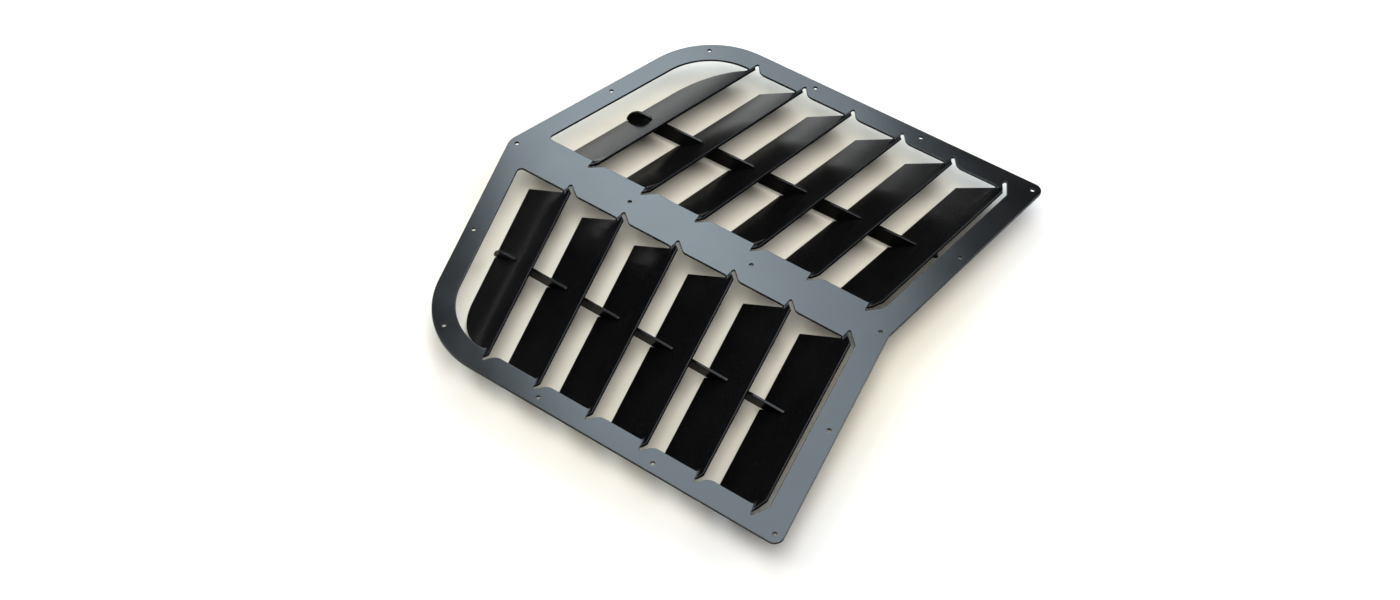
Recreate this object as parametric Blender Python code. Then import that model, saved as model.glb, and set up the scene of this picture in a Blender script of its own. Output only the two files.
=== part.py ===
"""Louvred hood vent panel: a flat chevron frame with two windows, six tilted louvre
blades in each window and one slotted stiffener under each bank of blades.
Metres, +Z up.  X runs across the panel, the pointed front end faces -Y, the mirror
plane is X = 0 and Z = 0 is the surface the panel stands on.  The named sizes below
are in millimetres and degrees."""
import math

import bmesh
import bpy
from mathutils import Matrix, Vector

MM = 0.001

# ---- sheet ---------------------------------------------------------------
SHEET_T = 3.0                 # frame and blades are cut from one gauge of sheet
SHEET_TOP = 34.9              # upper face of the frame above the standing surface
GAP = 0.3                     # clearance left between neighbouring pieces

# ---- frame, half of it, mirrored about X = 0 --------------------------------
HALF_W = 261.3                # centre line to side edge
FLANGE = 25.4                 # width of the side flanges
SPINE_HALF = 25.4             # half width of the centre spine
WINDOW_OUT = HALF_W - FLANGE  # outer edge of the window
FRONT_SLOPE = math.tan(math.radians(17.27))
REAR_SLOPE = math.tan(math.radians(8.4))
APEX_Y = -255.0               # where the two front edges would meet
NOTCH_Y = 216.7               # where the two rear edges would meet
WINDOW_FRONT_Y = -230.4       # front edge of the window carried to X = 0
WINDOW_REAR_Y = 190.9         # rear edge of the window carried to X = 0
APEX_R = 20.0
NOTCH_R = 8.0
FRONT_CORNER_R = 97.0
REAR_CORNER_R = 10.0
WINDOW_CORNER_R = 71.6
WINDOW_INNER_R = 4.5

# ---- fixing holes ----------------------------------------------------------
HOLE_D = 4.5
HOLE_INSET = 9.5              # hole centre to the edge of the sheet
HOLE_SIDES = 16
SPINE_HOLES_Y = (-96.2, 55.3)
SIDE_HOLES_Y = (-23.9, 109.7)
FRONT_HOLE_X = 121.2
REAR_HOLE_X = 127.9
CORNER_HOLE_ANGLE = -36.0     # round the big corner arc, from +X

# ---- louvre blades ----------------------------------------------------------
BLADES = 6
TILT = 32.0                   # front edge of a blade down
FIRST_TILT = 30.5             # the same of blade 1
TWIST_IN = (16.0, -160.9)     # blade 1's twist line at the spine
TWIST_OUT = (245.9, -96.3)    # and at the side flange
PITCH_IN = 68.4               # blade to blade along the spine
PITCH_OUT = 62.3              # and along the side flange
FRONT_CUT = 6.7               # front edge of a blade behind the twist line ahead of it
FIRST_FRONT_CUT = 0.8         # front edge of blade 1 behind the edge of the window
REAR_LIP = (3.0, 3.0, 3.2, 4.0, 4.8, 8.4)   # blade behind its own twist line
END_CLEAR_IN = 0.9            # end of a blade to the edge of the window, spine end
END_CLEAR_OUT = 0.5
FIRST_END_CLEAR_OUT = 3.0     # blade 1 has a big round corner there

# ---- necks that carry the blades, and the relief slots behind them ------------
SLOT_R = 1.5                  # half width of a relief slot
SLOT_AHEAD = 1.3              # tip of a slot ahead of the twist line
SLOT_SET_IN = 0.6             # centre of a slot's round end from the end of the twist line
SLOT_ANGLE_IN = 36.0          # slot to blade, spine end
SLOT_ANGLE_OUT = 38.0         # slot to the X axis, side end
LAST_SLOT_ANGLE_OUT = 28.0    # the same behind the last blade
EAR_CUT = 3.0                 # side of a blade's neck to the middle line of its slot
NECK_IN = 0.7                 # front side of a neck ahead of its slot tip, at the window
NECK_OUT = 2.8
FLARE_R_IN = 9.6
FLARE_R_OUT = 12.2

# ---- stiffeners ---------------------------------------------------------------
RIB_T = 3.0
RIB_X = 124.6                 # upper edge at Y = 0
RIB_YAW = 1.0                 # rear end further out
RIB_LEAN = 9.3                # lower edge nearer the spine
RIB_DROP = 11.25              # upper edge below the upper face of the frame
RIB_DEPTH = 18.5
RIB_FRONT = -186.0
RIB_REAR = 203.5
NOSE_LEAN = 4.4               # the front end leans back by this much over the depth
NOSE_R = 20.0                 # and is rounded into the upper edge
LAP_DEPTH = 38.5              # middle of a cross lap, down the blade from its twist line


# ---- outlines -------------------------------------------------------------------
def unit(dx, dy):
    length = math.hypot(dx, dy)
    return dx / length, dy / length


def arc(centre, radius, start, end, count):
    """Points on an arc; angles in degrees."""
    angles = [math.radians(start + (end - start) * i / count) for i in range(count + 1)]
    return [(centre[0] + radius * math.cos(a), centre[1] + radius * math.sin(a)) for a in angles]


def fillet(before, corner, after, radius, step=6.0):
    """Arc that rounds the corner between two straight edges."""
    ux, uy = unit(before[0] - corner[0], before[1] - corner[1])
    vx, vy = unit(after[0] - corner[0], after[1] - corner[1])
    half = math.acos(ux * vx + uy * vy) / 2
    bx, by = unit(ux + vx, uy + vy)
    reach = radius / math.sin(half)
    run = radius / math.tan(half)
    cx, cy = corner[0] + bx * reach, corner[1] + by * reach
    start = math.degrees(math.atan2(corner[1] + uy * run - cy, corner[0] + ux * run - cx))
    end = math.degrees(math.atan2(corner[1] + vy * run - cy, corner[0] + vx * run - cx))
    turn = (end - start + 180.0) % 360.0 - 180.0
    return arc((cx, cy), radius, start, start + turn, max(2, math.ceil(abs(turn) / step)))


def rounded(corners):
    """Closed outline from (x, y, radius) corners."""
    points = []
    for i, (x, y, radius) in enumerate(corners):
        after = corners[(i + 1) % len(corners)]
        points += fillet(corners[i - 1][:2], (x, y), after[:2], radius)
    return points


def mirrored(points, side):
    return [(side * x, y) for x, y in points]


def meet(point, direction, slope, base):
    """Where a ray crosses the line y = base + slope * x."""
    run = (base + slope * point[0] - point[1]) / (direction[1] - slope * direction[0])
    return point[0] + direction[0] * run, point[1] + direction[1] * run


# ---- frame ------------------------------------------------------------------------
def frame_outline():
    half = [(HALF_W, APEX_Y + HALF_W * FRONT_SLOPE, FRONT_CORNER_R),
            (HALF_W, NOTCH_Y + HALF_W * REAR_SLOPE, REAR_CORNER_R)]
    other = [(-x, y, radius) for x, y, radius in reversed(half)]
    return rounded([(0.0, APEX_Y, APEX_R)] + half + [(0.0, NOTCH_Y, NOTCH_R)] + other)


def hole_centres():
    """Holes on the centre line, and those of one half."""
    inset_front = HOLE_INSET * math.hypot(1.0, FRONT_SLOPE)
    inset_rear = HOLE_INSET * math.hypot(1.0, REAR_SLOPE)
    side = HALF_W - HOLE_INSET
    corner_x = HALF_W - FRONT_CORNER_R
    corner_y = APEX_Y + corner_x * FRONT_SLOPE + FRONT_CORNER_R * math.hypot(1.0, FRONT_SLOPE)
    spine = [(0.0, APEX_Y + inset_front), (0.0, NOTCH_Y - inset_rear)]
    spine += [(0.0, y) for y in SPINE_HOLES_Y]
    half = [(FRONT_HOLE_X, APEX_Y + FRONT_HOLE_X * FRONT_SLOPE + inset_front)]
    half += arc((corner_x, corner_y), FRONT_CORNER_R - HOLE_INSET, CORNER_HOLE_ANGLE, 0.0, 1)[:1]
    half += [(side, y) for y in SIDE_HOLES_Y]
    half += [(x, NOTCH_Y + x * REAR_SLOPE - inset_rear) for x in (side, REAR_HOLE_X)]
    return spine, half


def twist_y(j, x):
    """Twist line of blade j at x; blade 0 is the front one."""
    start = TWIST_IN[1] + PITCH_IN * j
    end = TWIST_OUT[1] + PITCH_OUT * j
    return start + (end - start) * (x - TWIST_IN[0]) / (TWIST_OUT[0] - TWIST_IN[0])


def sweep(j):
    """Angle of blade j's twist line to the X axis, in radians."""
    rise = twist_y(j, TWIST_OUT[0]) - twist_y(j, TWIST_IN[0])
    return math.atan2(rise, TWIST_OUT[0] - TWIST_IN[0])


def slot_in(j):
    """Round end of the relief slot at the spine, and the slot's direction."""
    angle = math.radians(SLOT_ANGLE_IN) + sweep(j)
    centre = TWIST_IN[0] + SLOT_SET_IN, twist_y(j, TWIST_IN[0]) - SLOT_AHEAD + SLOT_R
    return centre, (math.cos(angle), math.sin(angle))


def slot_out(j):
    """The same at the side flange."""
    angle = math.radians(LAST_SLOT_ANGLE_OUT if j == BLADES - 1 else SLOT_ANGLE_OUT)
    centre = TWIST_OUT[0] - SLOT_SET_IN, twist_y(j, TWIST_OUT[0]) - SLOT_AHEAD + SLOT_R
    return centre, (-math.cos(angle), math.sin(angle))


def neck_corner_in(j):
    """Window corner just ahead of blade j's neck at the spine."""
    return SPINE_HALF, twist_y(j, TWIST_IN[0]) - SLOT_AHEAD - NECK_IN


def neck_corner_out(j):
    return WINDOW_OUT, twist_y(j, TWIST_OUT[0]) - SLOT_AHEAD - NECK_OUT


def notch(corner, centre, direction, hand, edge_x, flare_r, last):
    """Edge of the window round one neck, front to rear.  hand is 1 at the spine end
    and -1 at the side end; the last slot runs into the rear edge of the window."""
    dx, dy = direction
    back = (centre[0] - hand * SLOT_R * dy, centre[1] + hand * SLOT_R * dx)
    turn = hand * (math.degrees(math.acos(hand * dx)) - 180.0)
    points = [corner] + arc(centre, SLOT_R, -90.0, -90.0 + turn, 5)
    if last:
        return points + [meet(back, direction, REAR_SLOPE, WINDOW_REAR_Y)]
    run = (edge_x - back[0]) / dx
    end = (edge_x, back[1] + dy * run)
    return points + fillet(back, end, (edge_x, end[1] + flare_r), flare_r, 10.0)


def window_outline():
    """Window on the +X side: front edge, side edge, and back along the spine."""
    inner = (SPINE_HALF, WINDOW_FRONT_Y + SPINE_HALF * FRONT_SLOPE)
    outer = (WINDOW_OUT, WINDOW_FRONT_Y + WINDOW_OUT * FRONT_SLOPE)
    points = fillet((SPINE_HALF, 0.0), inner, outer, WINDOW_INNER_R, 15.0)
    points += fillet(inner, outer, (WINDOW_OUT, 0.0), WINDOW_CORNER_R, 4.0)
    for j in range(BLADES):
        last = j == BLADES - 1
        points += notch(neck_corner_out(j), *slot_out(j), -1, WINDOW_OUT, FLARE_R_OUT, last)
    for j in reversed(range(BLADES)):
        last = j == BLADES - 1
        points += reversed(notch(neck_corner_in(j), *slot_in(j), 1, SPINE_HALF, FLARE_R_IN, last))
    return points


# ---- stiffener's axes, seen from the +X side ------------------------------------------
def rib_axes():
    """Along, up and across."""
    yaw = math.radians(RIB_YAW)
    lean = math.radians(RIB_LEAN)
    along = Vector((math.sin(yaw), math.cos(yaw), 0.0))
    out = Vector((math.cos(yaw), -math.sin(yaw), 0.0))
    up = Vector((0.0, 0.0, math.cos(lean))) + out * math.sin(lean)
    return along, up, along.cross(up)


def rib_origin():
    """Lower edge of the stiffener, below its upper edge at Y = 0."""
    return Vector((RIB_X, 0.0, SHEET_TOP - RIB_DROP)) - rib_axes()[1] * RIB_DEPTH


# ---- blades ---------------------------------------------------------------------------
def tilt(j):
    """Tilt of blade j, in radians."""
    return math.radians(FIRST_TILT if j == 0 else TILT)


def blade_turn(j):
    return Matrix.Rotation(sweep(j), 3, 'Z') @ Matrix.Rotation(tilt(j), 3, 'X')


def blade_origin(j):
    return Vector((TWIST_IN[0], twist_y(j, TWIST_IN[0]), SHEET_TOP))


def lap(j):
    """Line in which the middle planes of blade j and the stiffener meet: the point
    beside the twist line, and the direction down the blade."""
    turn = blade_turn(j)
    along, normal = turn.col[0], turn.col[2]
    across = rib_axes()[2]
    slope = normal.cross(across).normalized()
    if slope.z > 0:
        slope.negate()
    start = blade_origin(j) - normal * (SHEET_T / 2)
    return start + along * ((rib_origin() - start).dot(across) / along.dot(across)), slope


def in_blade(j, point):
    """Point in the plane of the sheet, in blade j's own axes: along and rearwards."""
    local = Matrix.Rotation(-sweep(j), 2) @ (Vector(point) - blade_origin(j).xy)
    return local.x, local.y


def blade_slot(j, front_edge):
    """Slot for the stiffener, open at the front edge of the blade, spine side first."""
    start, slope = lap(j)
    inverse = blade_turn(j).transposed()
    foot = inverse @ (start - blade_origin(j))
    down = inverse @ slope
    across = inverse @ rib_axes()[2]
    oblique = abs(across.z) / math.hypot(across.x, across.y)
    half = RIB_T / 2 + GAP + oblique * SHEET_T / 2
    dx, dy = unit(down.x, down.y)
    end = foot.xy + Vector((dx, dy)) * (LAP_DEPTH - GAP)
    (ax, ay), (bx, by) = front_edge
    slope_front = (by - ay) / (bx - ax)
    corners = [end + Vector((dy, -dx)) * half, end - Vector((dy, -dx)) * half]
    corners.sort(key=lambda corner: corner.x)
    mouth = [meet(corner, (dx, dy), slope_front, ay - slope_front * ax) for corner in corners]
    return [mouth[0], tuple(corners[0]), tuple(corners[1]), mouth[1]]


def blade_outline(j):
    """Blade j on the +X side, in its own axes, with both necks."""
    x_in = SPINE_HALF + END_CLEAR_IN
    x_out = WINDOW_OUT - END_CLEAR_OUT
    lip = REAR_LIP[j] / math.cos(sweep(j))
    slope = math.tan(sweep(j))
    if j == 0:
        base = WINDOW_FRONT_Y + FIRST_FRONT_CUT
        side_x = WINDOW_OUT - FIRST_END_CLEAR_OUT
        front_in, front_out = [(x, base + x * FRONT_SLOPE) for x in (x_in, side_x)]
        corner = fillet(front_in, front_out, (side_x, 0.0), WINDOW_CORNER_R - END_CLEAR_OUT, 4.0)
    else:
        front_in, front_out = [(x, twist_y(j - 1, x) + FRONT_CUT) for x in (x_in, x_out)]
        corner = [front_out]
    neck_out = neck_end(j, slot_out(j), -1, neck_corner_out(j), x_out, slope, lip)
    neck_in = neck_end(j, slot_in(j), 1, neck_corner_in(j), x_in, slope, lip)
    front = [in_blade(j, point) for point in (front_in, front_out)]
    slot = blade_slot(j, front)
    rest = [in_blade(j, point) for point in corner + neck_out + neck_in[::-1]]
    return front[:1] + slot + rest


def neck_end(j, slot, hand, corner, edge_x, slope, lip):
    """Outline of one neck, from its front side to the rear cut of the blade."""
    (cx, cy), (dx, dy) = slot
    rise = (cy - SLOT_R - corner[1]) / (cx - corner[0])
    near = (cx + hand * EAR_CUT * dy, cy - hand * EAR_CUT * dx)
    foot = meet(near, (dx, dy), rise, corner[1] - rise * corner[0] + GAP)
    rear = meet(near, (dx, dy), slope, twist_y(j, 0.0) + lip)
    return [(edge_x, corner[1] + GAP), foot, rear]


# ---- stiffener outline -------------------------------------------------------------------
def in_rib(vector):
    along, up, _ = rib_axes()
    return Vector((vector.dot(along), vector.dot(up)))


def rib_slot(j):
    """Slot for blade j, open at the upper edge of the stiffener, rear side first."""
    start, slope = lap(j)
    foot = in_rib(start - rib_origin())
    down = in_rib(slope)
    normal = blade_turn(j).col[2]
    across = abs(normal.dot(rib_axes()[2]))
    half = (SHEET_T / 2 + GAP + across * RIB_T / 2) / math.sqrt(1.0 - across ** 2)
    side = Vector((down.y, -down.x)) * half
    if side.x < 0:
        side.negate()
    end = foot + down * (LAP_DEPTH + GAP)
    corners = [end + side, end - side]
    mouth = [meet(corner, down, 0.0, RIB_DEPTH) for corner in corners]
    return [mouth[0], tuple(corners[0]), tuple(corners[1]), mouth[1]]


def rib_outline():
    """Round nose at the front, slanted tail at the rear, slots from the upper edge."""
    front = (RIB_FRONT, 0.0)
    nose = (RIB_FRONT + NOSE_LEAN, RIB_DEPTH)
    tail = (RIB_REAR - 32.0, 0.0)
    tip = (RIB_REAR, RIB_DEPTH - 4.2)
    heel = (RIB_REAR - 5.0, RIB_DEPTH)
    points = fillet(nose, front, tail, 1.5, 20.0) + fillet(front, tail, tip, 6.0, 12.0)
    points += fillet(tail, tip, heel, 1.5, 20.0) + fillet(tip, heel, nose, 4.0, 20.0)
    for j in reversed(range(BLADES)):
        points += rib_slot(j)
    return points + fillet(heel, nose, front, NOSE_R, 8.0)


# ---- solids ---------------------------------------------------------------------------------
def plate(name, outlines, thickness, collection):
    """Flat plate whose upper face is at z = 0.  The first outline is its edge and the
    others are openings, all in millimetres."""
    curve = bpy.data.curves.new(name + "_outline", 'CURVE')
    curve.dimensions = '2D'
    curve.fill_mode = 'BOTH'
    curve.extrude = thickness * MM / 2
    for outline in outlines:
        spline = curve.splines.new('POLY')
        spline.points.add(len(outline) - 1)
        for point, (x, y) in zip(spline.points, outline):
            point.co = (x * MM, y * MM, 0.0, 1.0)
        spline.use_cyclic_u = True
    source = bpy.data.objects.new(name + "_source", curve)
    collection.objects.link(source)
    graph = bpy.context.evaluated_depsgraph_get()
    mesh = bpy.data.meshes.new_from_object(source.evaluated_get(graph))
    mesh.name = name
    mesh.materials.clear()
    bpy.data.objects.remove(source)
    bpy.data.curves.remove(curve)
    shell = bmesh.new()
    shell.from_mesh(mesh)
    bmesh.ops.remove_doubles(shell, verts=shell.verts, dist=0.00001)
    bmesh.ops.recalc_face_normals(shell, faces=shell.faces)
    bmesh.ops.translate(shell, verts=shell.verts, vec=(0.0, 0.0, -thickness * MM / 2))
    shell.to_mesh(mesh)
    shell.free()
    obj = bpy.data.objects.new(name, mesh)
    collection.objects.link(obj)
    return obj


def coat(name, colour, roughness):
    """Satin powder coat."""
    mat = bpy.data.materials.new(name)
    mat.use_nodes = True
    shader = mat.node_tree.nodes["Principled BSDF"]
    shader.inputs["Base Color"].default_value = (*colour, 1.0)
    shader.inputs["Metallic"].default_value = 0.0
    shader.inputs["Roughness"].default_value = roughness
    return mat


def build_frame(collection):
    spine, half = hole_centres()
    window = window_outline()
    outlines = [frame_outline(), window, mirrored(window, -1)]
    for centre in spine + half + mirrored(half, -1):
        outlines.append(arc(centre, HOLE_D / 2, 0.0, 360.0, HOLE_SIDES)[:-1])
    frame = plate("vent_frame", outlines, SHEET_T, collection)
    frame.location.z = SHEET_TOP * MM
    frame.data.materials.append(coat("frame_coat", (0.030, 0.031, 0.033), 0.42))


def build_blade(j, side, side_name, collection):
    name = "louvre_%s_%d" % (side_name, j + 1)
    blade = plate(name, [mirrored(blade_outline(j), side)], SHEET_T, collection)
    x, y, z = blade_origin(j) * MM
    blade.location = (side * x, y, z)
    blade.rotation_euler = (tilt(j), 0.0, side * sweep(j))
    blade.data.materials.append(coat(name + "_coat", (0.022, 0.022, 0.024), 0.42))


def build_rib(side, side_name, collection):
    name = "stiffener_" + side_name
    rib = plate(name, [rib_outline()], RIB_T, collection)
    along, up, across = rib_axes()
    rotation = Matrix((along, up, across)).transposed().to_4x4()
    centred = Matrix.Translation(rib_origin() * MM) @ rotation
    centred = centred @ Matrix.Translation((0.0, 0.0, RIB_T * MM / 2))
    if side < 0:
        flip = Matrix.Scale(-1.0, 4, (1.0, 0.0, 0.0))
        thickness_flip = Matrix.Scale(-1.0, 4, (0.0, 0.0, 1.0))
        centred = flip @ centred @ thickness_flip @ Matrix.Translation((0.0, 0.0, RIB_T * MM))
    rib.matrix_world = centred
    rib.data.materials.append(coat(name + "_coat", (0.022, 0.022, 0.024), 0.45))


def main():
    for existing in list(bpy.data.objects):
        bpy.data.objects.remove(existing)
    panel = bpy.data.collections.new("hood_vent_panel")
    bpy.context.scene.collection.children.link(panel)
    build_frame(panel)
    for side, side_name in ((1, "left"), (-1, "right")):
        for j in range(BLADES):
            build_blade(j, side, side_name, panel)
        build_rib(side, side_name, panel)


main()
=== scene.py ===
import math

import bpy
import numpy as np
from mathutils import Matrix, Vector
from mathutils.geometry import delaunay_2d_cdt


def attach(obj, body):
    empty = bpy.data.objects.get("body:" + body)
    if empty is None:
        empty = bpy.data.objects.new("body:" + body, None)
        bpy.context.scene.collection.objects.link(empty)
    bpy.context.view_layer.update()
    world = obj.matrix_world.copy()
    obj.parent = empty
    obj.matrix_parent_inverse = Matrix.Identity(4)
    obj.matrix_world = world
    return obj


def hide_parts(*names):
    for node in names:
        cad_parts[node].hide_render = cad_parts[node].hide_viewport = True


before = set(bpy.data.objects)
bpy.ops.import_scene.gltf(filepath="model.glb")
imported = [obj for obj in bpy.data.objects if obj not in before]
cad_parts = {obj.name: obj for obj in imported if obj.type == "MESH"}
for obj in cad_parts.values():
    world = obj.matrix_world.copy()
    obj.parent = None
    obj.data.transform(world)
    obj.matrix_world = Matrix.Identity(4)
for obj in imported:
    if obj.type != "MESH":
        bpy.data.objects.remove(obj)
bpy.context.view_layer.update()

# The sizes below are in millimetres and degrees, as in the CAD source.
MM = 0.001

# ---- sheet ---------------------------------------------------------------
SHEET_T = 3.0
SHEET_TOP = 34.9
EDGE_R = 0.7                  # rounding of every cut edge, under the coat
EDGE_STEPS = 4
EDGE_LOOP_SHARE = 0.02        # of an outline's length that the rounding may reach
EDGE_BEND_SHARE = 0.6         # of an outside bend's own radius
EDGE_TAPER = 0.3              # change of the rounding, per length along the edge
EDGE_PASSES = 20
CORNER_R = 1.0                # rounding of sharp corners in a cut outline
CORNER_LEAST_R = 0.1
CORNER_SIDE_SHARE = 0.4       # of the shorter side beside a corner
CORNER_TURN = 0.4             # radians; a gentler corner stays as it is
ARC_STEP = 3.0                # degrees between points on an arc
ARC_SMALL_R = 2.0             # arcs smaller than this have a set number of steps
ARC_SMALL_STEPS = 6
LONGEST_SIDE = 5.0            # of an outline's pieces
END_PIECE = 1.0               # and of the two pieces at each end of a side
SEAM_FADE = 3.0               # distance over which rounding fades out at a neck
SEAM_ROUNDING = 0.04          # share of it that is left there
SAME_PLACE = 0.01
WELD = 1e-5
LEAST_AREA = 1e-7

# ---- frame, half of it, mirrored about X = 0 --------------------------------
HALF_W = 261.3
FLANGE = 25.4
SPINE_HALF = 25.4
WINDOW_OUT = HALF_W - FLANGE
FRONT_SLOPE = math.tan(math.radians(17.27))
REAR_SLOPE = math.tan(math.radians(8.4))
APEX_Y = -255.0
NOTCH_Y = 216.7
WINDOW_FRONT_Y = -230.4
WINDOW_REAR_Y = 190.9
APEX_R = 20.0
NOTCH_R = 8.0
FRONT_CORNER_R = 97.0
REAR_CORNER_R = 10.0
WINDOW_CORNER_R = 71.6
WINDOW_INNER_R = 4.5

# ---- fixing holes ----------------------------------------------------------
HOLE_D = 4.5
HOLE_SIDES = 40
HOLE_INSET = 9.5
SPINE_HOLES_Y = (-96.2, 55.3)
SIDE_HOLES_Y = (-23.9, 109.7)
FRONT_HOLE_X = 121.2
REAR_HOLE_X = 127.9
CORNER_HOLE_ANGLE = -36.0

# ---- louvre blades ----------------------------------------------------------
BLADES = 6
TILT = 32.0
FIRST_TILT = 30.5             # of blade 0, the front one
TWIST_IN = (16.0, -160.9)
TWIST_OUT = (245.9, -96.3)
PITCH_IN = 68.4
PITCH_OUT = 62.3
FRONT_CUT = 6.7
FIRST_FRONT_CUT = 0.8
REAR_LIP = (3.0, 3.0, 3.2, 4.0, 4.8, 8.4)
END_CLEAR_IN = 0.9
END_CLEAR_OUT = 0.5
FIRST_END_CLEAR_OUT = 3.0
BEND_REACH = 3.2              # a neck turns from the frame into the blade over this length
BEND_GRID = 0.7               # spacing of the mesh there
BEND_MARGIN = 0.42            # from that mesh to the outline

# ---- necks and relief slots ---------------------------------------------------
SEAM = 0.04                   # joint between a neck and the frame
SLOT_R = 1.5
SLOT_STEPS = 12               # on its round end
SLOT_AHEAD = 1.3
SLOT_SET_IN = 0.6
SLOT_ANGLE_IN = 36.0
SLOT_ANGLE_OUT = 38.0
LAST_SLOT_ANGLE_OUT = 28.0
EAR_CUT = 3.0                 # side of an ear to the middle line of its slot
NECK_IN = 0.7
NECK_OUT = 2.8
NECK_SHOULDER = 1.5           # from the end edge of a blade up to its crease
FLARE_R_IN = 9.6
FLARE_R_OUT = 12.2

# ---- stiffeners ---------------------------------------------------------------
GAP = 0.3
RIB_T = 3.0
RIB_X = 124.6
RIB_YAW = 1.0
RIB_LEAN = 9.3
RIB_DROP = 11.25
RIB_DEPTH = 18.5
RIB_FRONT = -186.0
RIB_REAR = 203.5
LAP_DEPTH = 38.5
NOSE_LEAN = 4.4
NOSE_R = 20.0
NOSE_TIP_R = 1.5
TAIL_LENGTH = 32.0            # of its slanted lower edge
TAIL_TIP_DROP = 4.2
TAIL_HEEL = 5.0
TAIL_FOOT_R = 6.0
TAIL_TIP_R = 1.5
TAIL_HEEL_R = 4.0


# ---- outlines -------------------------------------------------------------------
def unit(dx, dy):
    """Direction of a vector, as a vector of length 1."""
    length = math.hypot(dx, dy)
    return dx / length, dy / length


def arc(centre, radius, start, end, count):
    """Points on an arc; angles in degrees."""
    angles = [math.radians(start + (end - start) * i / count) for i in range(count + 1)]
    return [(centre[0] + radius * math.cos(a), centre[1] + radius * math.sin(a)) for a in angles]


def fillet(before, corner, after, radius):
    """Arc that rounds the corner between two straight edges."""
    ux, uy = unit(before[0] - corner[0], before[1] - corner[1])
    vx, vy = unit(after[0] - corner[0], after[1] - corner[1])
    half = math.acos(max(-1.0, min(1.0, ux * vx + uy * vy))) / 2
    bx, by = unit(ux + vx, uy + vy)
    reach = radius / math.sin(half)
    run = radius / math.tan(half)
    cx, cy = corner[0] + bx * reach, corner[1] + by * reach
    start = math.degrees(math.atan2(corner[1] + uy * run - cy, corner[0] + ux * run - cx))
    end = math.degrees(math.atan2(corner[1] + vy * run - cy, corner[0] + vx * run - cx))
    turn = (end - start + 180.0) % 360.0 - 180.0
    steps = max(4, math.ceil(abs(turn) / ARC_STEP))
    count = steps if radius > ARC_SMALL_R else ARC_SMALL_STEPS
    return arc((cx, cy), radius, start, start + turn, count)


def rounded(corners):
    """Closed outline from (x, y, radius) corners."""
    points = []
    for i, (x, y, radius) in enumerate(corners):
        after = corners[(i + 1) % len(corners)]
        points += fillet(corners[i - 1][:2], (x, y), after[:2], radius)
    return points


def softened(points, keep=()):
    """Round the sharp corners of a closed outline, but not those in keep."""
    result = []
    for i, point in enumerate(points):
        before, after = points[i - 1], points[(i + 1) % len(points)]
        ux, uy = unit(point[0] - before[0], point[1] - before[1])
        vx, vy = unit(after[0] - point[0], after[1] - point[1])
        turn = abs(math.atan2(ux * vy - uy * vx, ux * vx + uy * vy))
        side = CORNER_SIDE_SHARE * min(math.dist(before, point), math.dist(point, after))
        radius = min(CORNER_R, side / math.tan(turn / 2)) if turn > CORNER_TURN else 0.0
        kept = any(math.dist(point, other) < SAME_PLACE for other in keep)
        sharp = radius > CORNER_LEAST_R and not kept
        result += fillet(before, point, after, radius) if sharp else [point]
    return result


def divided(points):
    """Closed outline whose long sides are cut into shorter ones, finest at their ends."""
    result = []
    for i, (x0, y0) in enumerate(points):
        x1, y1 = points[(i + 1) % len(points)]
        length = math.hypot(x1 - x0, y1 - y0)
        cuts = [0.0]
        if length > 3.0 * END_PIECE:
            cuts += [END_PIECE, 2.0 * END_PIECE]
        if length > LONGEST_SIDE:
            rest = length - 4.0 * END_PIECE
            middle = math.ceil(rest / LONGEST_SIDE)
            cuts += [2.0 * END_PIECE + rest * k / middle for k in range(1, middle)]
            cuts += [length - 2.0 * END_PIECE, length - END_PIECE]
        result += [(x0 + (x1 - x0) * c / length, y0 + (y1 - y0) * c / length) for c in cuts]
    return result


def mirrored(points, side):
    """Outline on the +X side for side 1, and its mirror image for side -1."""
    return [(side * x, y) for x, y in points]


def meet(point, direction, slope, base):
    """Where a ray crosses the line y = base + slope * x."""
    run = (base + slope * point[0] - point[1]) / (direction[1] - slope * direction[0])
    return point[0] + direction[0] * run, point[1] + direction[1] * run


# ---- frame ------------------------------------------------------------------------
def frame_outline():
    """Outer edge of the panel: pointed front, notched rear, straight sides."""
    half = [(HALF_W, APEX_Y + HALF_W * FRONT_SLOPE, FRONT_CORNER_R),
            (HALF_W, NOTCH_Y + HALF_W * REAR_SLOPE, REAR_CORNER_R)]
    other = [(-x, y, radius) for x, y, radius in reversed(half)]
    return rounded([(0.0, APEX_Y, APEX_R)] + half + [(0.0, NOTCH_Y, NOTCH_R)] + other)


def hole_centres():
    """Holes on the centre line, and those of one half."""
    inset_front = HOLE_INSET * math.hypot(1.0, FRONT_SLOPE)
    inset_rear = HOLE_INSET * math.hypot(1.0, REAR_SLOPE)
    side = HALF_W - HOLE_INSET
    corner_x = HALF_W - FRONT_CORNER_R
    corner_y = APEX_Y + corner_x * FRONT_SLOPE + FRONT_CORNER_R * math.hypot(1.0, FRONT_SLOPE)
    spine = [(0.0, APEX_Y + inset_front), (0.0, NOTCH_Y - inset_rear)]
    spine += [(0.0, y) for y in SPINE_HOLES_Y]
    half = [(FRONT_HOLE_X, APEX_Y + FRONT_HOLE_X * FRONT_SLOPE + inset_front)]
    half += arc((corner_x, corner_y), FRONT_CORNER_R - HOLE_INSET, CORNER_HOLE_ANGLE, 0.0, 1)[:1]
    half += [(side, y) for y in SIDE_HOLES_Y]
    half += [(x, NOTCH_Y + x * REAR_SLOPE - inset_rear) for x in (side, REAR_HOLE_X)]
    return spine, half


def twist_y(j, x):
    """Twist line of blade j at x; blade 0 is the front one."""
    start = TWIST_IN[1] + PITCH_IN * j
    end = TWIST_OUT[1] + PITCH_OUT * j
    return start + (end - start) * (x - TWIST_IN[0]) / (TWIST_OUT[0] - TWIST_IN[0])


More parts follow.
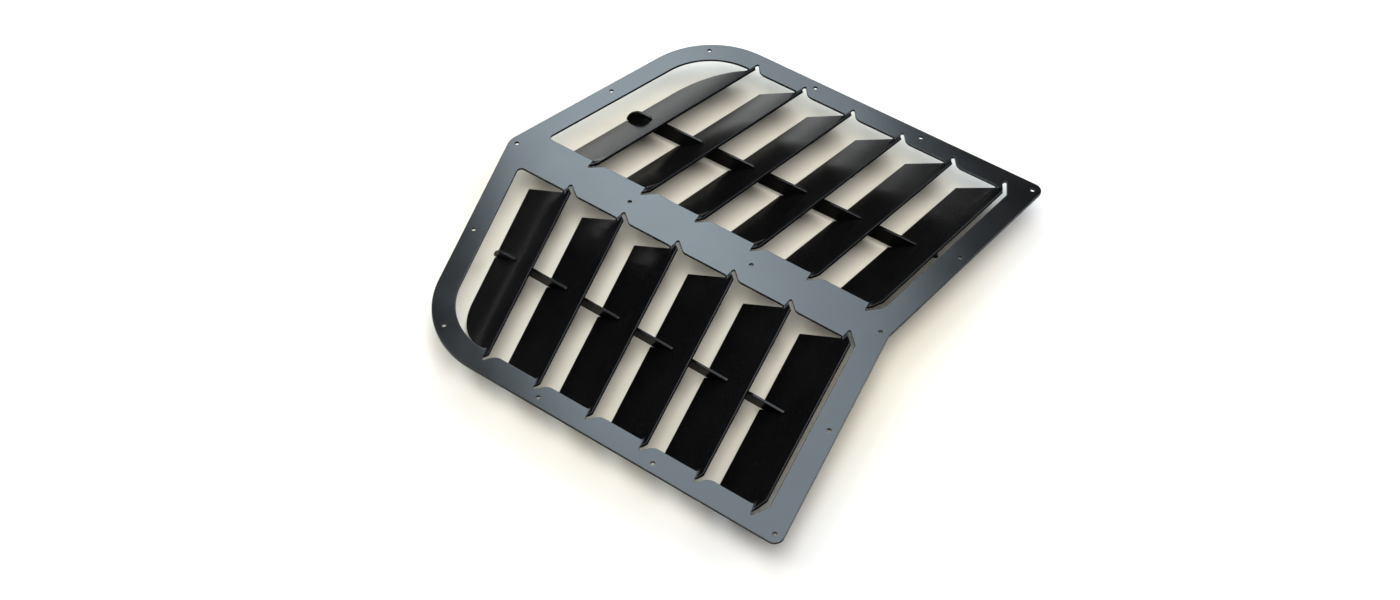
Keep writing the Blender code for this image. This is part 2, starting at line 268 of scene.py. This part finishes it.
def sweep(j):
    """Angle of blade j's twist line to the X axis, in radians."""
    rise = twist_y(j, TWIST_OUT[0]) - twist_y(j, TWIST_IN[0])
    return math.atan2(rise, TWIST_OUT[0] - TWIST_IN[0])


def slot_in(j):
    """Round end of the relief slot at the spine, and the slot's direction."""
    angle = math.radians(SLOT_ANGLE_IN) + sweep(j)
    centre = TWIST_IN[0] + SLOT_SET_IN, twist_y(j, TWIST_IN[0]) - SLOT_AHEAD + SLOT_R
    return centre, (math.cos(angle), math.sin(angle))


def slot_out(j):
    """The same at the side flange."""
    angle = math.radians(LAST_SLOT_ANGLE_OUT if j == BLADES - 1 else SLOT_ANGLE_OUT)
    centre = TWIST_OUT[0] - SLOT_SET_IN, twist_y(j, TWIST_OUT[0]) - SLOT_AHEAD + SLOT_R
    return centre, (-math.cos(angle), math.sin(angle))


def neck_corner_in(j):
    """Window corner just ahead of blade j's neck at the spine."""
    return SPINE_HALF, twist_y(j, TWIST_IN[0]) - SLOT_AHEAD - NECK_IN


def neck_corner_out(j):
    """The same at the side flange."""
    return WINDOW_OUT, twist_y(j, TWIST_OUT[0]) - SLOT_AHEAD - NECK_OUT


def creases(j):
    """The two lines along which blade j grows out of the frame."""
    tip_in, tip_out = slot_in(j)[0], slot_out(j)[0]
    return ((neck_corner_in(j), (tip_in[0], tip_in[1] - SLOT_R)),
            (neck_corner_out(j), (tip_out[0], tip_out[1] - SLOT_R)))


def notch(corner, centre, direction, hand, edge_x, flare_r, last):
    """Edge of the window round one neck, front to rear.  hand is 1 at the spine end
    and -1 at the side end; the last slot runs into the rear edge of the window."""
    dx, dy = direction
    back = (centre[0] - hand * SLOT_R * dy, centre[1] + hand * SLOT_R * dx)
    turn = hand * (math.degrees(math.acos(hand * dx)) - 180.0)
    points = [corner] + arc(centre, SLOT_R, -90.0, -90.0 + turn, SLOT_STEPS)
    if last:
        return points + [meet(back, direction, REAR_SLOPE, WINDOW_REAR_Y)]
    run = (edge_x - back[0]) / dx
    end = (edge_x, back[1] + dy * run)
    return points + fillet(back, end, (edge_x, end[1] + flare_r), flare_r)


def window_outline():
    """Window on the +X side: front edge, side edge, and back along the spine."""
    inner = (SPINE_HALF, WINDOW_FRONT_Y + SPINE_HALF * FRONT_SLOPE)
    outer = (WINDOW_OUT, WINDOW_FRONT_Y + WINDOW_OUT * FRONT_SLOPE)
    points = fillet((SPINE_HALF, 0.0), inner, outer, WINDOW_INNER_R)
    points += fillet(inner, outer, (WINDOW_OUT, 0.0), WINDOW_CORNER_R)
    for j in range(BLADES):
        last = j == BLADES - 1
        points += notch(neck_corner_out(j), *slot_out(j), -1, WINDOW_OUT, FLARE_R_OUT, last)
    for j in reversed(range(BLADES)):
        last = j == BLADES - 1
        points += reversed(notch(neck_corner_in(j), *slot_in(j), 1, SPINE_HALF, FLARE_R_IN, last))
    return points


# ---- stiffener's axes, seen from the +X side ------------------------------------------
def rib_axes():
    """Along, up and across."""
    yaw = math.radians(RIB_YAW)
    lean = math.radians(RIB_LEAN)
    along = Vector((math.sin(yaw), math.cos(yaw), 0.0))
    out = Vector((math.cos(yaw), -math.sin(yaw), 0.0))
    up = Vector((0.0, 0.0, math.cos(lean))) + out * math.sin(lean)
    return along, up, along.cross(up)


def rib_origin():
    """Lower edge of the stiffener, below its upper edge at Y = 0."""
    return Vector((RIB_X, 0.0, SHEET_TOP - RIB_DROP)) - rib_axes()[1] * RIB_DEPTH


# ---- blades ---------------------------------------------------------------------------
def tilt(j):
    """Tilt of blade j, in radians."""
    return math.radians(FIRST_TILT if j == 0 else TILT)


def blade_turn(j):
    """From blade j's own axes to the panel's."""
    return Matrix.Rotation(sweep(j), 3, 'Z') @ Matrix.Rotation(tilt(j), 3, 'X')


def blade_origin(j):
    """Inner end of blade j's twist line, on the upper face."""
    return Vector((TWIST_IN[0], twist_y(j, TWIST_IN[0]), SHEET_TOP))


def lap(j):
    """Line in which the middle planes of blade j and the stiffener meet: the point
    beside the twist line, and the direction down the blade."""
    turn = blade_turn(j)
    along, normal = turn.col[0], turn.col[2]
    across = rib_axes()[2]
    slope = normal.cross(across).normalized()
    if slope.z > 0:
        slope.negate()
    start = blade_origin(j) - normal * (SHEET_T / 2)
    return start + along * ((rib_origin() - start).dot(across) / along.dot(across)), slope


def in_blade(j, point):
    """Point in the plane of the sheet, in blade j's own axes: along and rearwards."""
    local = Matrix.Rotation(-sweep(j), 2) @ (Vector(point) - blade_origin(j).xy)
    return local.x, local.y


def blade_slot(j, front_edge):
    """Slot for the stiffener, open at the front edge of the blade, spine side first."""
    start, slope = lap(j)
    inverse = blade_turn(j).transposed()
    foot = inverse @ (start - blade_origin(j))
    down = inverse @ slope
    across = inverse @ rib_axes()[2]
    oblique = abs(across.z) / math.hypot(across.x, across.y)
    half = RIB_T / 2 + GAP + oblique * SHEET_T / 2
    dx, dy = unit(down.x, down.y)
    end = foot.xy + Vector((dx, dy)) * (LAP_DEPTH - GAP)
    (ax, ay), (bx, by) = front_edge
    slope_front = (by - ay) / (bx - ax)
    corners = [end + Vector((dy, -dx)) * half, end - Vector((dy, -dx)) * half]
    corners.sort(key=lambda corner: corner.x)
    mouth = [meet(corner, (dx, dy), slope_front, ay - slope_front * ax) for corner in corners]
    return [mouth[0], tuple(corners[0]), tuple(corners[1]), mouth[1]]


def blade_outline(j):
    """Blade j on the +X side, in its own axes, and the ends of its two creases."""
    x_in = SPINE_HALF + END_CLEAR_IN
    x_out = WINDOW_OUT - END_CLEAR_OUT
    lip = REAR_LIP[j] / math.cos(sweep(j))
    slope = math.tan(sweep(j))
    if j == 0:
        base = WINDOW_FRONT_Y + FIRST_FRONT_CUT
        side_x = WINDOW_OUT - FIRST_END_CLEAR_OUT
        front_in, front_out = [(x, base + x * FRONT_SLOPE) for x in (x_in, side_x)]
        corner = fillet(front_in, front_out, (side_x, 0.0), WINDOW_CORNER_R - END_CLEAR_OUT)
    else:
        front_in, front_out = [(x, twist_y(j - 1, x) + FRONT_CUT) for x in (x_in, x_out)]
        corner = [front_out]
    neck_out = neck_end(j, slot_out(j), -1, creases(j)[1], x_out, slope, lip)
    neck_in = neck_end(j, slot_in(j), 1, creases(j)[0], x_in, slope, lip)
    front = [in_blade(j, point) for point in (front_in, front_out)]
    slot = blade_slot(j, front)
    rest = [in_blade(j, point) for point in corner + neck_out + neck_in[::-1]]
    keep = [in_blade(j, point) for point in (neck_out[1], neck_out[2], neck_in[1], neck_in[2])]
    return front[:1] + slot + rest, keep


def neck_end(j, slot, hand, crease, edge_x, slope, lip):
    """Outline of one neck, from the end of the blade to its rear cut; the second and
    third points lie on the crease."""
    (cx, cy), (dx, dy) = slot
    (ax, ay), (bx, by) = crease
    rise = (by - ay) / (bx - ax)
    near = (cx + hand * EAR_CUT * dy, cy - hand * EAR_CUT * dx)
    foot = meet(near, (dx, dy), rise, ay - rise * ax + SEAM)
    rear = meet(near, (dx, dy), slope, twist_y(j, 0.0) + lip)
    return [(edge_x, ay - NECK_SHOULDER), (ax + hand * SEAM, ay + SEAM), foot, rear]


# ---- stiffener outline -------------------------------------------------------------------
def in_rib(vector):
    """Vector in the stiffener's own axes: along and up."""
    along, up, _ = rib_axes()
    return Vector((vector.dot(along), vector.dot(up)))


def rib_slot(j):
    """Slot for blade j, open at the upper edge of the stiffener, rear side first."""
    start, slope = lap(j)
    foot = in_rib(start - rib_origin())
    down = in_rib(slope)
    normal = blade_turn(j).col[2]
    across = abs(normal.dot(rib_axes()[2]))
    half = (SHEET_T / 2 + GAP + across * RIB_T / 2) / math.sqrt(1.0 - across ** 2)
    side = Vector((down.y, -down.x)) * half
    if side.x < 0:
        side.negate()
    end = foot + down * (LAP_DEPTH + GAP)
    corners = [end + side, end - side]
    mouth = [meet(corner, down, 0.0, RIB_DEPTH) for corner in corners]
    return [mouth[0], tuple(corners[0]), tuple(corners[1]), mouth[1]]


def rib_outline():
    """Nose at the front, slanted tail at the rear, slots from the upper edge."""
    front = (RIB_FRONT, 0.0)
    nose = (RIB_FRONT + NOSE_LEAN, RIB_DEPTH)
    tail = (RIB_REAR - TAIL_LENGTH, 0.0)
    tip = (RIB_REAR, RIB_DEPTH - TAIL_TIP_DROP)
    heel = (RIB_REAR - TAIL_HEEL, RIB_DEPTH)
    points = fillet(nose, front, tail, NOSE_TIP_R) + fillet(front, tail, tip, TAIL_FOOT_R)
    points += fillet(tail, tip, heel, TAIL_TIP_R) + fillet(tip, heel, nose, TAIL_HEEL_R)
    for j in reversed(range(BLADES)):
        points += rib_slot(j)
    return points + fillet(heel, nose, front, NOSE_R)


# ---- sheet metal with rounded edges ---------------------------------------------------------
def eased(t):
    """Smooth step from 0 to 1."""
    t = np.clip(t, 0.0, 1.0)
    return t * t * (3.0 - 2.0 * t)


def distance_to(points, segments):
    """Distance of each point to the nearest of the segments."""
    best = np.full(len(points), 1e9)
    for a, b in segments:
        a, b = np.array(a), np.array(b)
        run = np.clip((points - a) @ (b - a) / ((b - a) @ (b - a)), 0.0, 1.0)
        best = np.minimum(best, np.linalg.norm(points - a - run[:, None] * (b - a), axis=1))
    return best


def inside(points, loops):
    """Whether each point lies in the metal between closed outlines."""
    odd = np.zeros(len(points), bool)
    px, py = points[:, :1], points[:, 1:]
    for loop in loops:
        (x0, y0), (x1, y1) = loop.T, np.roll(loop, -1, 0).T
        crosses = (y0 > py) != (y1 > py)
        run = np.where(y1 == y0, 1.0, y1 - y0)
        hits = crosses & (px < x0 + (py - y0) / run * (x1 - x0))
        odd ^= hits.sum(1) % 2 == 1
    return odd


def inward(loop):
    """Direction into the metal at each point of an outline that has it on the left, and
    how much further a corner lies from the edge than a straight side does."""
    step = np.roll(loop, -1, 0) - loop
    step /= np.linalg.norm(step, axis=1)[:, None]
    left = np.stack((-step[:, 1], step[:, 0]), 1)
    mean = left + np.roll(left, 1, 0)
    mean /= np.linalg.norm(mean, axis=1)[:, None]
    return mean, 1.0 / np.maximum((mean * left).sum(1), 0.5)


def edge_radius(loop):
    """Rounding that fits at each point: less on tight outside corners and beside them."""
    step = np.roll(loop, -1, 0) - loop
    length = np.linalg.norm(step, axis=1)
    before = np.roll(step, 1, 0)
    turn = np.arctan2(before[:, 0] * step[:, 1] - before[:, 1] * step[:, 0], (before * step).sum(1))
    curve = (length + np.roll(length, 1)) / 2 / np.maximum(turn, 1e-6)
    radius = np.minimum(min(EDGE_R, EDGE_LOOP_SHARE * length.sum()), EDGE_BEND_SHARE * curve)
    for _ in range(EDGE_PASSES):
        radius = np.minimum(radius, np.roll(radius, 1) + EDGE_TAPER * np.roll(length, 1))
        radius = np.minimum(radius, np.roll(radius, -1) + EDGE_TAPER * length)
    return radius


def seam_points(loops, seams):
    """Points over the metal near the seams, where a sheet bends."""
    points = []
    for a, b in seams:
        low = np.minimum(a, b) - BEND_REACH
        high = np.maximum(a, b) + BEND_REACH
        counts = np.ceil((high - low) / BEND_GRID).astype(int)
        xs = low[0] + BEND_GRID * np.arange(counts[0])
        ys = low[1] + BEND_GRID * np.arange(counts[1])
        points.append(np.stack(np.meshgrid(xs, ys), -1).reshape(-1, 2))
    points = np.concatenate(points)
    edges = [(p, q) for loop in loops for p, q in zip(loop, np.roll(loop, -1, 0))]
    points = points[distance_to(points, seams) < BEND_REACH]
    points = points[inside(points, loops)]
    return points[distance_to(points, edges) > BEND_MARGIN]


def cap_triangles(loops, extra):
    """Triangles that cover the metal between outlines, counted over loops and extra."""
    points = np.concatenate(loops + [extra])
    edges = []
    first = 0
    for loop in loops:
        count = len(loop)
        edges += [(first + i, first + (i + 1) % count) for i in range(count)]
        first += count
    corners = [Vector(point) for point in points]
    _, _, faces, origin, _, _ = delaunay_2d_cdt(corners, edges, [], 0, WELD)
    number = [sources[0] for sources in origin]
    faces = np.array([[number[k] for k in face] for face in faces])
    centres = points[faces].mean(1)
    faces = faces[inside(centres, loops)]
    a, b, c = (points[faces[:, k]] for k in range(3))
    area = (b[:, 0] - a[:, 0]) * (c[:, 1] - a[:, 1]) - (c[:, 0] - a[:, 0]) * (b[:, 1] - a[:, 1])
    faces[area < 0] = faces[area < 0][:, ::-1]
    return faces[abs(area) > LEAST_AREA]


def sheet_solid(outlines, seams=(), bends=False):
    """Points, faces and normals of a sheet whose upper face is at z = 0.  The first
    outline is its edge and the others are openings.  Edges are rounded, except along
    the seams, where the metal carries on into its neighbour."""
    loops = []
    for outline in outlines:
        loop = np.array(divided(outline))
        x, y = loop.T
        area = (x * np.roll(y, -1) - np.roll(x, -1) * y).sum()
        loops.append(loop if (area > 0) == (not loops) else loop[::-1])
    edge = np.concatenate(loops)
    turned = [inward(loop) for loop in loops]
    into = np.concatenate([direction for direction, _ in turned])
    reach = np.concatenate([stretch for _, stretch in turned])
    radius = np.concatenate([edge_radius(loop) for loop in loops])
    if seams:
        radius *= np.maximum(eased(distance_to(edge, seams) / SEAM_FADE), SEAM_ROUNDING)
    quarter = np.radians(np.linspace(0.0, 90.0, EDGE_STEPS + 1))
    levels = [(-angle, -SHEET_T) for angle in quarter[::-1]] + [(angle, 0.0) for angle in quarter]
    points, normals = [], []
    for angle, face_z in levels:
        side = 1.0 if face_z == 0.0 else -1.0
        flat = edge + into * (radius * reach * (1.0 - math.cos(angle)))[:, None]
        height = face_z - side * radius * (1.0 - abs(math.sin(angle)))
        points.append(np.column_stack((flat, height)))
        outward = -into * math.cos(angle)
        normals.append(np.column_stack((outward, np.full(len(edge), math.sin(angle)))))
    faces = []
    first = 0
    for loop in loops:
        count = len(loop)
        for level in range(len(levels) - 1):
            low, high = level * len(edge) + first, (level + 1) * len(edge) + first
            for i in range(count):
                k = (i + 1) % count
                faces.append((low + i, low + k, high + k, high + i))
        first += count
    starts = np.cumsum([len(loop) for loop in loops])[:-1]
    top = np.split(points[-1][:, :2], starts)
    extra = seam_points(top, seams) if bends else np.zeros((0, 2))
    cover = cap_triangles(top, extra)
    rings = len(levels) * len(edge)
    upper = np.where(cover < len(edge), cover + rings - len(edge), cover - len(edge) + rings)
    lower = np.where(cover < len(edge), cover, upper + len(extra))
    faces += [tuple(face) for face in upper.tolist()] + [tuple(face[::-1]) for face in lower.tolist()]
    for height, up in ((0.0, 1.0), (-SHEET_T, -1.0)):
        points.append(np.column_stack((extra, np.full(len(extra), height))))
        normals.append(np.tile((0.0, 0.0, up), (len(extra), 1)))
    return np.concatenate(points), faces, np.concatenate(normals)


def placed(points, normals, place):
    """Points moved by a mapping of space, and the normals turned with them."""
    step = 0.001
    moved = place(points)
    axes = [(place(points + step * np.eye(3)[k]) - moved) / step for k in range(3)]
    turned = sum(normals[:, k:k + 1] * np.cross(axes[k - 2], axes[k - 1]) for k in range(3))
    return moved, turned / np.linalg.norm(turned, axis=1)[:, None]


def piece(name, solid, side, slot, node):
    """Object from a solid in millimetres, on the +X side or mirrored to the other."""
    points, faces, normals = solid
    if side < 0:
        points, normals = points * (-1.0, 1.0, 1.0), normals * (-1.0, 1.0, 1.0)
        faces = [face[::-1] for face in faces]
    mesh = bpy.data.meshes.new(name)
    mesh.from_pydata((points * MM).tolist(), [], faces)
    mesh.polygons.foreach_set("use_smooth", [True] * len(mesh.polygons))
    mesh.normals_split_custom_set_from_vertices(normals.tolist())
    obj = bpy.data.objects.new(name, mesh)
    bpy.context.scene.collection.objects.link(obj)
    obj.data.materials.append(coats[slot])
    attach(obj, "root")
    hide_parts(node)


# ---- materials ------------------------------------------------------------------------------
# Noise scales are per metre; heights of the surface are in metres.
EDGE_LEVEL, FACE_LEVEL = 0.60, 0.80          # upright part of the normal, cut edge and face
EDGE_GLOSS, FACE_GLOSS = 0.04, 0.50          # share of the coat's reflection, 0.5 is all of it
NOISE_SPAN = (0.35, 0.65)                    # where most of the raw noise lies
WHITE = (1.0, 1.0, 1.0, 1.0)
DIM_VIOLET = (0.96, 0.94, 1.0, 1.0)
BLUE_SHARE = 1.08                            # blue of the coats' black against its red and green
TONE_SCALE, TONE_LOW, TONE_HIGH = 14.0, 0.80, 1.25
GLOSS_SCALE, GLOSS_SWING = 22.0, 0.08        # patches in the gloss, and how far they swing
PEEL_SCALE, PEEL_HEIGHT = 420.0, 0.00001     # orange peel
GRAIN_SCALE, GRAIN_HEIGHT = 1900.0, 0.000004
PEEL_STRENGTH = 0.6
DUST_SCALE = 900.0
DUST_SPAN = (0.70, 0.76)                     # of the noise, only its peaks are specks
DUST = (0.030, 0.030, 0.029, 1.0)
TABLE_SHADE_MIDDLE = (0.82, 0.785, 0.68, 1.0)        # painted warm shade in the middle, under the panel
TABLE_WHITE = (0.87, 0.87, 0.865, 1.0)       # away from it
TABLE_FADE = (0.22, 0.36)                    # distances between which one turns into the other
TABLE_ROUGHNESS = 0.8
MOTTLE_SCALE, MOTTLE_LOW, MOTTLE_HIGH = 6.0, 0.985, 1.015
LAMINATE_SCALE, LAMINATE_HEIGHT, LAMINATE_STRENGTH = 700.0, 0.00004, 0.4


def new_material(name):
    """Material, its node tree and its shader."""
    mat = bpy.data.materials.new(name)
    mat.use_nodes = True
    return mat, mat.node_tree, mat.node_tree.nodes["Principled BSDF"]


def smooth_range(tree, value, start, end):
    """Map-range node that eases from 0 to 1 while the value goes from start to end."""
    node = tree.nodes.new("ShaderNodeMapRange")
    node.interpolation_type = 'SMOOTHSTEP'
    node.inputs["From Min"].default_value = start
    node.inputs["From Max"].default_value = end
    tree.links.new(value, node.inputs["Value"])
    return node


def mixed(tree, blend, factor, a, b):
    """Mix of two colours; each of the three is a value or a socket."""
    node = tree.nodes.new("ShaderNodeMix")
    node.data_type = 'RGBA'
    node.blend_type = blend
    for name, given in (("Factor", factor), ("A", a), ("B", b)):
        if isinstance(given, bpy.types.NodeSocket):
            tree.links.new(given, node.inputs[name])
        else:
            node.inputs[name].default_value = given
    return node.outputs["Result"]


def noise(tree, coordinates, scale, detail, low, high, span=NOISE_SPAN):
    """Noise that swings between two values."""
    source = tree.nodes.new("ShaderNodeTexNoise")
    source.inputs["Scale"].default_value = scale
    source.inputs["Detail"].default_value = detail
    tree.links.new(coordinates, source.inputs["Vector"])
    spread = tree.nodes.new("ShaderNodeMapRange")
    spread.inputs["From Min"].default_value, spread.inputs["From Max"].default_value = span
    spread.inputs["To Min"].default_value = low
    spread.inputs["To Max"].default_value = high
    tree.links.new(source.outputs["Fac"], spread.inputs["Value"])
    return spread.outputs["Result"]


def bump(tree, height, distance, strength, before=None):
    """Surface normal tilted by a height, on top of another bump if there is one."""
    node = tree.nodes.new("ShaderNodeBump")
    node.inputs["Distance"].default_value = distance
    node.inputs["Strength"].default_value = strength
    tree.links.new(height, node.inputs["Height"])
    if before:
        tree.links.new(before, node.inputs["Normal"])
    return node.outputs["Normal"]


def powder_coat(name, shade, roughness, ior, tint, shift):
    """Satin black powder coat: orange peel, patchy gloss and a little dust, thin and
    dull on the cut edges."""
    mat, tree, shader = new_material(name)
    shader.inputs["IOR"].default_value = ior
    shader.inputs["Specular Tint"].default_value = tint
    place = tree.nodes.new("ShaderNodeTexCoord")
    facing = tree.nodes.new("ShaderNodeSeparateXYZ")
    tree.links.new(place.outputs["Normal"], facing.inputs["Vector"])
    level = tree.nodes.new("ShaderNodeMath")
    level.operation = 'ABSOLUTE'
    tree.links.new(facing.outputs["Z"], level.inputs[0])
    face = smooth_range(tree, level.outputs["Value"], EDGE_LEVEL, FACE_LEVEL)
    face.inputs["To Min"].default_value = EDGE_GLOSS
    face.inputs["To Max"].default_value = FACE_GLOSS
    tree.links.new(face.outputs["Result"], shader.inputs["Specular IOR Level"])
    moved = tree.nodes.new("ShaderNodeMapping")
    moved.inputs["Location"].default_value = (shift, shift * 0.7, shift * 0.4)
    tree.links.new(place.outputs["Object"], moved.inputs["Vector"])
    here = moved.outputs["Vector"]
    tone = noise(tree, here, TONE_SCALE, 4.0, TONE_LOW, TONE_HIGH)
    black = mixed(tree, 'MULTIPLY', 1.0, (shade, shade, shade * BLUE_SHARE, 1.0), tone)
    dust = noise(tree, here, DUST_SCALE, 1.0, 0.0, 1.0, DUST_SPAN)
    tree.links.new(mixed(tree, 'MIX', dust, black, DUST), shader.inputs["Base Color"])
    gloss = noise(tree, here, GLOSS_SCALE, 5.0, roughness * (1.0 - GLOSS_SWING),
                  roughness * (1.0 + GLOSS_SWING))
    tree.links.new(gloss, shader.inputs["Roughness"])
    peel = noise(tree, here, PEEL_SCALE, 2.0, 0.0, 1.0)
    grain = noise(tree, here, GRAIN_SCALE, 1.0, 0.0, 1.0)
    waved = bump(tree, peel, PEEL_HEIGHT, PEEL_STRENGTH)
    surface = bump(tree, grain, GRAIN_HEIGHT, PEEL_STRENGTH, waved)
    tree.links.new(surface, shader.inputs["Normal"])
    return mat


def table_top():
    """White matt laminate with a faint mottle, and painted warm shade in the middle, under the panel.
    """
    mat, tree, shader = new_material("table_top")
    here = tree.nodes.new("ShaderNodeTexCoord").outputs["Object"]
    reach = tree.nodes.new("ShaderNodeVectorMath")
    reach.operation = 'LENGTH'
    tree.links.new(here, reach.inputs[0])
    fade = smooth_range(tree, reach.outputs["Value"], *TABLE_FADE).outputs["Result"]
    # Painted shade: darker, warmer colour in the middle, under the panel, fading to white over
    # TABLE_FADE.
    shaded_middle = mixed(tree, 'MIX', fade, TABLE_SHADE_MIDDLE, TABLE_WHITE)
    tone = noise(tree, here, MOTTLE_SCALE, 6.0, MOTTLE_LOW, MOTTLE_HIGH)
    tree.links.new(mixed(tree, 'MULTIPLY', 1.0, shaded_middle, tone), shader.inputs["Base Color"])
    shader.inputs["Roughness"].default_value = TABLE_ROUGHNESS
    grain = noise(tree, here, LAMINATE_SCALE, 3.0, 0.0, 1.0)
    surface = bump(tree, grain, LAMINATE_HEIGHT, LAMINATE_STRENGTH)
    tree.links.new(surface, shader.inputs["Normal"])
    return mat


# Shade, roughness, index of refraction, tint of the reflection, and where the noise starts.
coats = {"frame_coat": powder_coat("frame_coat", 0.0040, 0.20, 1.75, WHITE, 0.0),
         # Blade coat: the frame's powder coat with a darker shade, painted shade that dims the
         # blades.
         "blade_coat": powder_coat("blade_coat", 0.0028, 0.18, 1.43, DIM_VIOLET, 1.3),
         "stiffener_coat": powder_coat("stiffener_coat", 0.0036, 0.22, 1.5, WHITE, 2.9)}


# ---- the panel --------------------------------------------------------------------------------
SIDES = ((1, "left"), (-1, "right"))         # left is +X, the wing nearer the camera


def build_frame():
    """The one sheet with its two windows and all holes."""
    spine, half = hole_centres()
    half_seams = [crease for j in range(BLADES) for crease in creases(j)]
    keep = [neck_corner_in(j) for j in range(BLADES)] + [neck_corner_out(j) for j in range(BLADES)]
    window = softened(window_outline(), keep)
    outlines = [frame_outline(), window, mirrored(window, -1)]
    for centre in spine + half + mirrored(half, -1):
        outlines.append(arc(centre, HOLE_D / 2, 0.0, 360.0, HOLE_SIDES)[:-1])
    seams = half_seams + [tuple(mirrored(crease, -1)) for crease in half_seams]
    points, faces, normals = sheet_solid(outlines, seams)
    raised = points + (0.0, 0.0, SHEET_TOP)
    piece("frame_sheet", (raised, faces, normals), 1, "frame_coat", "vent_frame")


def build_blade(j):
    """Blade j of both wings, with its necks bent into the plane of the frame."""
    outline, keep = blade_outline(j)
    seams = [tuple(in_blade(j, point) for point in crease) for crease in creases(j)]
    points, faces, normals = sheet_solid([softened(outline, keep)], seams, bends=True)
    flat_turn = np.array(Matrix.Rotation(sweep(j), 3, 'Z')).T
    tilted_turn = np.array(blade_turn(j)).T
    origin = np.array(blade_origin(j))

    def bent(p):
        """Points of the flat sheet: level at the creases, tilted away from them."""
        share = 1.0 - eased(distance_to(p[:, :2], seams) / BEND_REACH)[:, None]
        return origin + share * (p @ flat_turn) + (1.0 - share) * (p @ tilted_turn)

    points, normals = placed(points, normals, bent)
    for side, side_name in SIDES:
        node = "louvre_%s_%d" % (side_name, j + 1)
        name = "blade_%s_%d" % (side_name, j + 1)
        piece(name, (points, faces, normals), side, "blade_coat", node)


def build_rib():
    """The stiffener of both wings."""
    points, faces, normals = sheet_solid([softened(rib_outline())])
    turn = np.array(rib_axes())
    origin = np.array(rib_origin())
    points = (points + (0.0, 0.0, RIB_T / 2)) @ turn + origin
    solid = points, faces, normals @ turn
    for side, side_name in SIDES:
        piece("rib_" + side_name, solid, side, "stiffener_coat", "stiffener_" + side_name)


build_frame()
for number in range(BLADES):
    build_blade(number)
build_rib()


# ---- table, lights and camera, in metres ----------------------------------------------------------
VIEW_OUT = Vector((0.826, 0.563))            # along the floor, from the panel to the viewer
VIEW_SIDE = Vector((-0.563, 0.826))
TABLE_OUT = (-0.43, 2.5)                     # its edges along VIEW_OUT
TABLE_ACROSS = (-0.55, 2.5)                  # and along VIEW_SIDE
FLOOR_HALF = 6.0
FLOOR_DROP = 0.00005                         # keeps the floor below the table
ROOM = (0.006, 0.006, 0.006, 1.0)
CENTRE = Vector((0.0, 0.0, 0.035))
MIRROR_RAY = Vector((-0.5137, -0.3443, 0.7858)).normalized()     # the view, mirrored in the panel
STRIP_SIDE = Vector((-0.5568, 0.8307, 0.0))
STRIP_UP = STRIP_SIDE.cross(MIRROR_RAY)
STRIP_ROLL = 0.2                             # radians
COLD = (0.76, 0.90, 1.0)
DAYLIGHT = (1.0, 0.99, 0.97)
LAMP = (1.0, 0.97, 0.93)
CAMERA_PLACE = (0.9625, 0.6380, 1.4049)
CAMERA_TURN = (38.2005, -0.1923, 124.0802)   # degrees
CAMERA_LENS = 44.886
CAMERA_SENSOR = 36.0


def table(name, corners, height, glossy):
    """Flat surface under the panel; only a glossy one is mirrored in it."""
    mesh = bpy.data.meshes.new(name)
    mesh.from_pydata([(x, y, height) for x, y in corners], [], [(0, 1, 2, 3)])
    obj = bpy.data.objects.new(name, mesh)
    bpy.context.scene.collection.objects.link(obj)
    obj.data.materials.append(laminate)
    obj.visible_glossy = glossy


def area_light(name, location, target, size, radiance, colour, roll=0.0):
    """Rectangular soft light; radiance in W per square metre and steradian."""
    data = bpy.data.lights.new(name, 'AREA')
    data.shape = 'RECTANGLE'
    data.size, data.size_y = size
    data.energy = radiance * math.pi * size[0] * size[1]
    data.color = colour
    light = bpy.data.objects.new(name, data)
    aim = (Vector(target) - Vector(location)).to_track_quat('-Z', 'Y').to_matrix()
    turn = aim @ Matrix.Rotation(roll, 3, 'Z')
    light.matrix_world = Matrix.Translation(location) @ turn.to_4x4()
    bpy.context.scene.collection.objects.link(light)


def strip_light(name, distance, aside, above, size, radiance):
    """Cold light that the flat faces of the panel mirror into the camera."""
    location = CENTRE + MIRROR_RAY * distance + STRIP_SIDE * aside + STRIP_UP * above
    area_light(name, location, CENTRE, size, radiance, COLD, STRIP_ROLL)


laminate = table_top()
(far, near), (right, left) = TABLE_OUT, TABLE_ACROSS
near_table = [VIEW_OUT * out + VIEW_SIDE * across
              for out, across in ((far, right), (near, right), (near, left), (far, left))]
table("table", near_table, 0.0, True)
floor = [(-FLOOR_HALF, -FLOOR_HALF), (FLOOR_HALF, -FLOOR_HALF),
         (FLOOR_HALF, FLOOR_HALF), (-FLOOR_HALF, FLOOR_HALF)]
table("floor", floor, -FLOOR_DROP, False)

world = bpy.data.worlds.new("world")
bpy.context.scene.world = world
world.use_nodes = True
world.node_tree.nodes["Background"].inputs["Color"].default_value = ROOM

strip_light("strip", 1.6, 0.015, 0.0, (0.78, 1.8), 2.9)
strip_light("strip_heart", 1.58, -0.12, -0.12, (0.40, 0.7), 1.55)
area_light("overhead", (0.6, 0.5, 3.0), (0.0, 0.0, 0.0), (2.7, 2.7), 3.9, LAMP)
area_light("front", (0.5, -1.6, 1.7), (0.0, 0.0, 0.0), (1.6, 1.2), 3.5, DAYLIGHT)
area_light("side", (-1.6, 1.5, 1.3), (0.0, 0.0, 0.0), (1.2, 1.0), 6.0, DAYLIGHT)

camera = bpy.data.objects.new("camera", bpy.data.cameras.new("camera"))
camera.location = CAMERA_PLACE
camera.rotation_euler = [math.radians(angle) for angle in CAMERA_TURN]
camera.data.lens = CAMERA_LENS
camera.data.sensor_width = CAMERA_SENSOR
bpy.context.scene.collection.objects.link(camera)
bpy.context.scene.camera = camera
bpy.context.scene.view_settings.view_transform = 'Standard'
